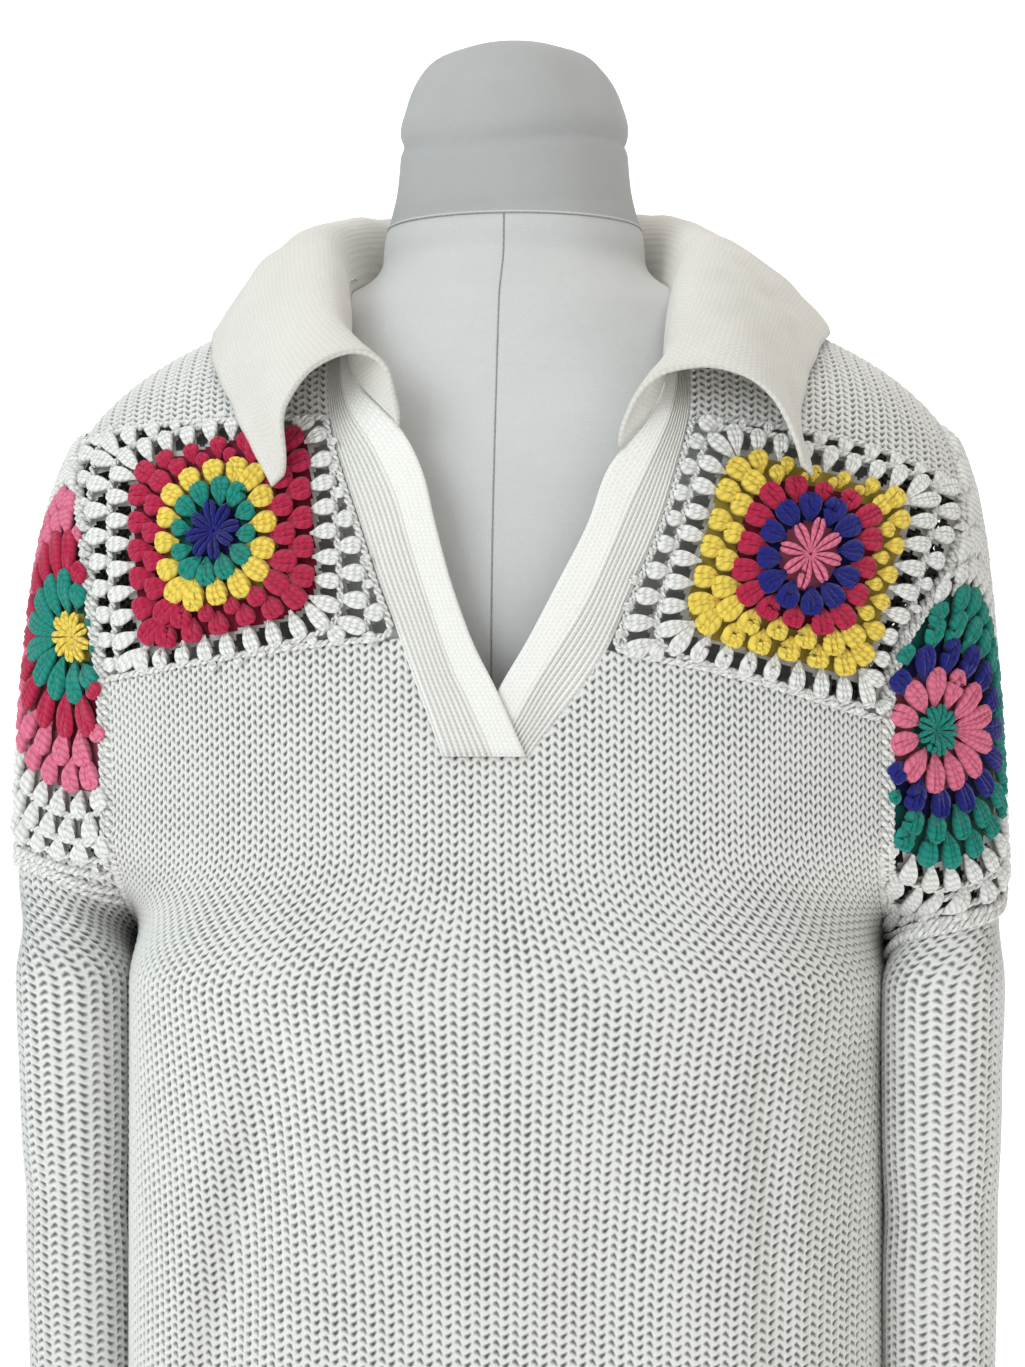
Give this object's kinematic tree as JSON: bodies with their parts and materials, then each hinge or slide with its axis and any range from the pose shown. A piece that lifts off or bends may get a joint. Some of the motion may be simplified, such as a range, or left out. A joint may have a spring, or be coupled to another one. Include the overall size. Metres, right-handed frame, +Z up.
{
  "type": "v-neck sweater on a dress form",
  "caption": "Long-sleeved cream knitted v-neck sweater with a fold-down collar and bright crochet squares, worn by a limbless dress form.",
  "frame": {"origin": "the middle of the bounding box's underside, on the surface that the dress form stands on", "axes": "+Z up, -Y out of the front of the sweater, +X to the wearer's left"},
  "size_m": [0.5058, 0.2895, 0.859],
  "materials": {
    "cream_knit": "chunky half-cardigan rib knit, matt",
    "cream_fine_knit": "fine plain and ribbed knit, matt",
    "crochet_yarn": "crochet clusters in cream, crimson, teal, navy, yellow and pink yarn, matt",
    "jersey": "light grey stretch jersey cover, matt"
  },
  "bodies": {
    "root": {"dress_form": "jersey", "front_panel": "cream_knit", "back_panel": "cream_knit", "yoke_left": "cream_knit", "yoke_right": "cream_knit", "front_square_left": "crochet_yarn", "front_square_right": "crochet_yarn", "neck_band_left": "cream_fine_knit", "neck_band_right": "cream_fine_knit", "collar": "cream_fine_knit", "sleeve_square_left": "crochet_yarn", "sleeve_square_right": "crochet_yarn", "sleeve_left": "cream_knit", "sleeve_right": "cream_knit", "cuff_left": "cream_fine_knit", "cuff_right": "cream_fine_knit", "hem_rib": "cream_fine_knit"}
  },
  "joints": []
}
